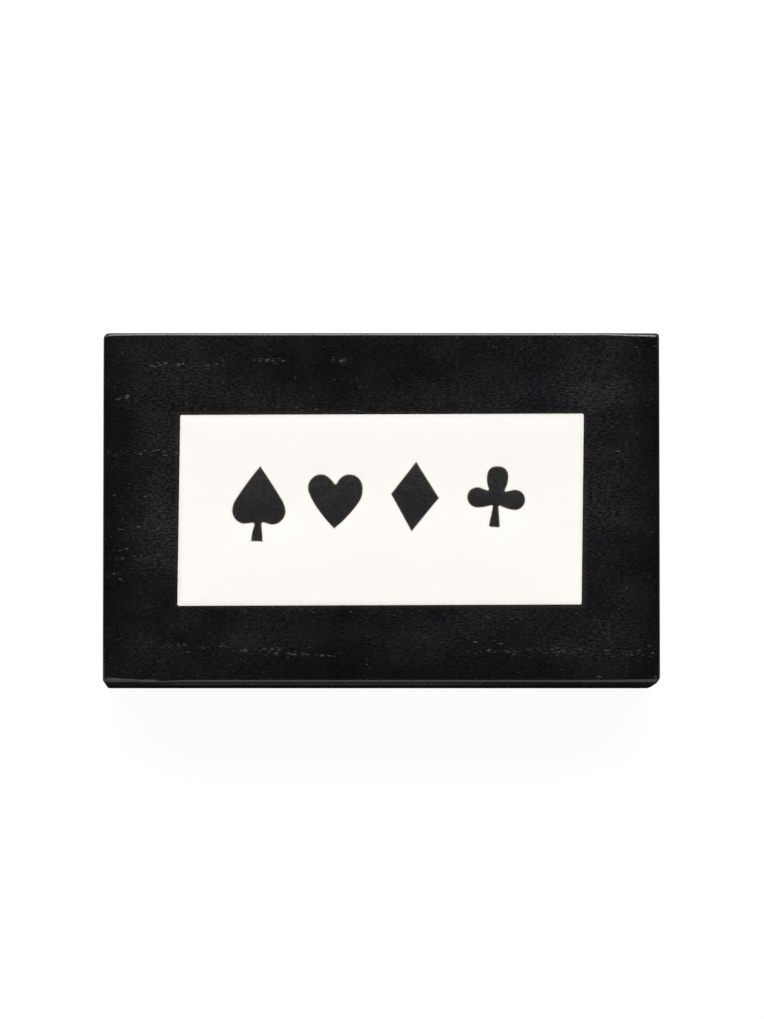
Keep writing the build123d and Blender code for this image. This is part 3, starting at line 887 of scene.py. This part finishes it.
# %% [markdown]
# ## Felt
# Charcoal felt lines the floor of each compartment and the inside of the lid, and black felt is
# glued under the box. Felt is pressed fibre, a millimetre thick, cut with scissors: its edge is
# soft and wavers a little, and its top is never quite flat. Cloth simulation has nothing to do
# here, because every sheet is glued to a board. So each is built from rings: up the cut edge, over
# its soft shoulder and inwards, with a slow noise that moves edge and top by a few hundredths.

# %% Felt finish
TANGLE_CELL, MOTTLE_CELL = (0.9, 0.9, 0.9), (6, 6, 6)
FIBRE_CELL, FIBRE_TURN = (3.0, 0.22, 0.3), 0.6
CROSS_CELL, CROSS_TURN = (0.22, 3.0, 0.3), 0.35


def felt(name, dark, light):
    """Pressed wool: a mottled tone, a fine tangle of fibres in the relief, and a soft sheen."""
    finish, tree, shader = new_finish(
        name, Roughness=0.95, Specular_IOR_Level=0.15,
        Sheen_Weight=0.35, Sheen_Roughness=0.5, Sheen_Tint=light,
    )
    tangle = clouds(tree, TANGLE_CELL, 6.0, 0.8)
    fibre = clouds(tree, FIBRE_CELL, 3.0, 0.6, FIBRE_TURN)
    fibre_across = clouds(tree, CROSS_CELL, 3.0, 0.6, CROSS_TURN)
    strands = numbers(tree, "MAXIMUM", fibre, fibre_across)
    mottle = clouds(tree, MOTTLE_CELL, 4.0, 0.6)
    shade = numbers(tree, "MULTIPLY", spread(tree, tangle, 0.36, 0.66),
                    spread(tree, strands, 0.4, 0.75, 0.4, 1.0))
    shade = numbers(tree, "ADD", shade, spread(tree, mottle, 0.3, 0.7, 0.0, 0.25))
    feed(tree, shader, Base_Color=blend_colours(tree, shade, dark, light))
    relief(tree, shader, (mottle, 0.25), (tangle, 0.12), (strands, 0.06))
    return finish


lining_felt = felt("charcoal_felt", (0.017, 0.017, 0.019, 1), (0.068, 0.068, 0.073, 1))
foot_felt = felt("black_felt", (0.008, 0.008, 0.009, 1), (0.026, 0.026, 0.028, 1))

# %% Felt pieces
FELT_STEP, FELT_RING_STEP = 2.5, 6
FELT_PROFILE = (  # how far inside the cut edge, and at which share of the half thickness
    (0.15, -1.0), (0.0, -0.45), (0.02, 0.1), (0.12, 0.6), (0.35, 0.9), (0.9, 1.0),
)
FELT_WAVER, WAVER_CELL, WAVER_REACH = 0.12, 5, 3
FELT_SWELL, SWELL_CELL, SWELLS_ABOVE = 0.06, 7, 0.8
SEED_STEP = 0.37
LEAST_FELT_CORNER, FELT_CORNER_STEPS = 0.05, 4
SIDES = (  # side of X, side of Y, where its corner starts in degrees, and which way it goes on
    (1, -1, -90, (0, 1)), (1, 1, 0, (-1, 0)), (-1, 1, 90, (0, -1)), (-1, -1, 180, (1, 0)),
)


def oblong_line(half_x, half_y, corner, inset):
    """Points (x, y) round an oblong with round corners, moved inwards by inset."""
    points = []
    radius = max(corner - inset, LEAST_FELT_CORNER)
    for side_x, side_y, first, (go_x, go_y) in SIDES:
        middle_x = side_x * (half_x - inset - radius)
        middle_y = side_y * (half_y - inset - radius)
        for j in range(FELT_CORNER_STEPS + 1):
            angle = math.radians(first + 90 / FELT_CORNER_STEPS * j)
            points.append((middle_x + radius * math.cos(angle), middle_y + radius * math.sin(angle)))
        along = half_y if go_y else half_x
        steps = int(2 * along / FELT_STEP)
        reach = 2 * (along - inset - radius)
        x, y = points[-1]
        points += [(x + go_x * reach * j / steps, y + go_y * reach * j / steps)
                   for j in range(1, steps)]
    return points


def slow_noise(x, y, cell, seed):
    """A number from 0 to 1 that changes slowly from place to place."""
    return 0.5 + 0.5 * noise.noise((x / cell, y / cell, seed))


def felt_piece(name, node, finish, body, corner, facing=1):
    """A sheet of felt where its CAD node is. facing is 1 where its soft side looks up."""
    low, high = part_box(node)
    middle = (low + high) / 2 / MM
    half_x, half_y, half_z = (high - low) / 2 / MM
    seed = SEED_STEP * len(name)
    mesh = bmesh.new()
    profile = list(FELT_PROFILE)
    while profile[-1][0] + FELT_RING_STEP < half_y:
        profile.append((profile[-1][0] + FELT_RING_STEP, 1.0))
    lines = []
    for inset, share in profile:
        line = []
        fading = max(0, 1 - inset / WAVER_REACH) / max(half_x, half_y)
        for x, y in oblong_line(half_x, half_y, corner, inset):
            pull = 1 - FELT_WAVER * slow_noise(x, y, WAVER_CELL, seed) * fading
            swell = 0
            if share > SWELLS_ABOVE:
                swell = FELT_SWELL * slow_noise(x, y, SWELL_CELL, seed + 5)
            z = middle.z + facing * (half_z * share - swell)
            line.append(mesh.verts.new((middle.x + x * pull, middle.y + y * pull, z)))
        lines.append(line)
    for lower, upper in zip(lines, lines[1:]):
        join_rings(mesh, lower, upper)
    fill_between(mesh, lines[-1])
    fill_between(mesh, lines[0])
    piece = make_piece(name, mesh, finish, crease=60)
    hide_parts(node)
    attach(piece, body)


for side in ("left", "right"):
    felt_piece(f"floor_felt_{side}", f"floor_lining_{side}", lining_felt, "base", 0.4)
felt_piece("lid_felt", "lid_lining", lining_felt, "lid", 0.4, facing=-1)
felt_piece("foot_felt_sheet", "foot_felt", foot_felt, "base", 3, facing=-1)

# %% [markdown]
# ## Brass and steel
# The hinge leaves are brass, brushed along their length and gone a little dull. The screws are
# turned brass, brighter where the driver has touched them. The pins are drawn steel wire. All of
# them are CAD bodies with the right shape, down to the knuckles, countersinks and slots.

# %% Metal finishes
METALS = (  # how the nodes' names end, finish, dull and bright colour, roughness, a brush mark's cell
    (("leaf_left", "leaf_right"), "satin_brass",
     (0.50, 0.36, 0.16, 1), (0.74, 0.55, 0.27, 1), 0.30, (5, 0.12, 0.12)),
    (("leaf_screws",), "turned_brass",
     (0.55, 0.40, 0.19, 1), (0.78, 0.60, 0.31, 1), 0.24, (0.5, 0.5, 0.3)),
    (("pin_left", "pin_right"), "drawn_steel",
     (0.40, 0.40, 0.41, 1), (0.60, 0.60, 0.61, 1), 0.22, (6, 0.1, 0.1)),
)
DULL_CELL = (4, 3, 3)


def brushed_metal(name, dull, bright, roughness, cell_mm):
    """A metal with brush marks along X and patches where it has gone dull."""
    finish, tree, shader = new_finish(name, Metallic=1.0)
    marks = clouds(tree, cell_mm, 4.0, 0.6)
    patches = spread(tree, clouds(tree, DULL_CELL, 3.0, 0.6), 0.35, 0.65)
    worn = spread(tree, marks, 0.3, 0.7, roughness - 0.06, roughness + 0.12)
    feed(tree, shader, Base_Color=blend_colours(tree, patches, dull, bright), Roughness=worn)
    relief(tree, shader, (marks, 0.006))
    return finish


for endings, *settings in METALS:
    metal = brushed_metal(*settings)
    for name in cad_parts:
        if name.endswith(endings):
            dress(name, metal)

# %% [markdown]
# ## The bottom board
# It lies between two felts, so little of it ever shows. Black stain sinks into bare wood and leaves
# it matt, with the grain standing up a little.

# %% Stained board
STAIN_DARK, STAIN_LIGHT = (0.010, 0.009, 0.008, 1), (0.034, 0.030, 0.027, 1)

stained_board, tree, shader = new_finish("stained_board", Roughness=0.75, Specular_IOR_Level=0.3)
grain = clouds(tree, (14, 0.5, 0.5), 4.0, 0.6)
feed(tree, shader, Base_Color=blend_colours(tree, grain, STAIN_DARK, STAIN_LIGHT))
relief(tree, shader, (grain, 0.05))
dress("base_floor", stained_board)

# %% [markdown]
# ## Light
# The photograph has one narrow hard line of light along the back edge, a softer one along the
# front edge, and a lid that stays black. So the light that draws the back edge is a narrow box,
# low behind the object. Most of the light on the white plate comes from two wide weak cards, one
# behind and one in front. A bright wide box would do it alone, but polished lacquer mirrors it,
# and the lid would turn white from every low seat in front. The narrow box keeps that to a seat
# straight in front, 20 to 35 degrees up, where the lid does turn white. Twelve degrees to the side
# it is mid grey. The room is grey, so the box's sides stay dark.

# %% Light
ROOM_SIDES, ROOM_CEILING = 0.13, 0.05
LAMPS = (  # name, azimuth (0 is the front, 180 the back), elevation, distance, width, height, radiance
    ("back_softbox", 180, 33, 4.4, 0.9, 1.9, 13.2),
    ("back_card", 180, 46, 4.6, 8.8, 2.8, 3.05),
    ("front_card", 0, 40, 2.2, 3.6, 2.4, 1.3),
)

world = bpy.data.worlds.new("studio")
bpy.context.scene.world = world
tree = emptied_tree(world)
path = put(tree, "LightPath")
height = put(tree, "SeparateXYZ", {0: put(tree, "TexCoord").outputs["Generated"]}).outputs[2]
room = spread(tree, height, 0.1, 0.9, ROOM_SIDES, ROOM_CEILING)
dim = put(tree, "Background", {"Color": WHITE, "Strength": room}).outputs[0]
white = put(tree, "Background", {"Color": WHITE, "Strength": 1.0}).outputs[0]
mix = put(tree, "MixShader", {0: path.outputs["Is Camera Ray"], 1: dim, 2: white})
out = tree.nodes.new("ShaderNodeOutputWorld")
tree.links.new(mix.outputs[0], out.inputs["Surface"])


def softbox(name, azimuth, elevation, distance, width, height, radiance):
    """A rectangular lamp that faces the box."""
    lamp = bpy.data.lights.new(name, "AREA")
    lamp.shape = "RECTANGLE"
    lamp.size, lamp.size_y = width, height
    lamp.energy = radiance * math.pi * width * height
    a, e = math.radians(azimuth), math.radians(elevation)
    back = Vector((math.sin(a) * math.cos(e), -math.cos(a) * math.cos(e), math.sin(e)))
    holder = bpy.data.objects.new(name, lamp)
    holder.location = back * distance
    holder.rotation_mode = "QUATERNION"
    holder.rotation_quaternion = (-back).to_track_quat("-Z", "Y")
    bpy.context.collection.objects.link(holder)


for lamp in LAMPS:
    softbox(*lamp)

# %% [markdown]
# ## The floor
# A plain white sheet of paper. To the camera it also glows a little, so that it reaches white and
# keeps only a faint shadow round the box, as on the photograph's white ground. The front, seen at
# a grazing angle, would mirror white paper, and on the photograph it is black there. So near the
# box's foot the paper is painted dark for glossy rays only: a painted shadow that mirrors show.

# %% Floor
# The painted shadow that mirrors see: full within FOOT_DARK of the box and gone past FOOT_PALE, in
# metres, in the darker of the two paper colours below.
FOOT_DARK, FOOT_PALE = 0.004, 0.11
PAPER, SHADOWED_PAPER_IN_MIRRORS = (0.8, 0.8, 0.8, 1), (0.012, 0.012, 0.012, 1)
SEEN_PAPER, PAPER_GLOW = (0.15, 0.15, 0.15, 1), 0.91
FLOOR_HALF = 6.0


def floor_finish():
    """White paper with a painted shadow near the box that only mirrors see, and lit up a little to the
    camera.
    """
    finish = bpy.data.materials.new("pale_floor")
    tree = emptied_tree(finish)
    path = put(tree, "LightPath")
    away = distance_from_oblong(tree, (0, 0, 0), (cad_box[1].x, cad_box[1].y, 1))
    # Painted shadow: near the box's foot the paper turns dark, for glossy rays only.
    near = spread(tree, away, FOOT_DARK, FOOT_PALE, 1.0, 0.0, smooth=True)
    shadow_in_mirrors = numbers(tree, "MULTIPLY", near, path.outputs["Is Glossy Ray"])
    colour = blend_colours(tree, shadow_in_mirrors, PAPER, SHADOWED_PAPER_IN_MIRRORS)
    paper = put(tree, "BsdfDiffuse", {"Color": colour}).outputs[0]
    thin = put(tree, "BsdfDiffuse", {"Color": SEEN_PAPER}).outputs[0]
    glow = put(tree, "Emission", {"Color": WHITE, "Strength": PAPER_GLOW}).outputs[0]
    seen = put(tree, "AddShader", {0: thin, 1: glow}).outputs[0]
    mix = put(tree, "MixShader", {0: path.outputs["Is Camera Ray"], 1: paper, 2: seen})
    out = tree.nodes.new("ShaderNodeOutputMaterial")
    tree.links.new(mix.outputs[0], out.inputs["Surface"])
    return finish


sheet = bpy.data.meshes.new("floor")
corners = [(side_x * FLOOR_HALF, side_y * FLOOR_HALF, 0) for side_x, side_y, _ in CORNERS]
sheet.from_pydata(corners, [], [(0, 1, 2, 3)])
floor = bpy.data.objects.new("floor", sheet)
bpy.context.collection.objects.link(floor)
floor.data.materials.append(floor_finish())

# %% [markdown]
# ## The view transform
# Colours are shown through the Standard view transform.

# %% View transform
bpy.context.scene.view_settings.view_transform = "Standard"
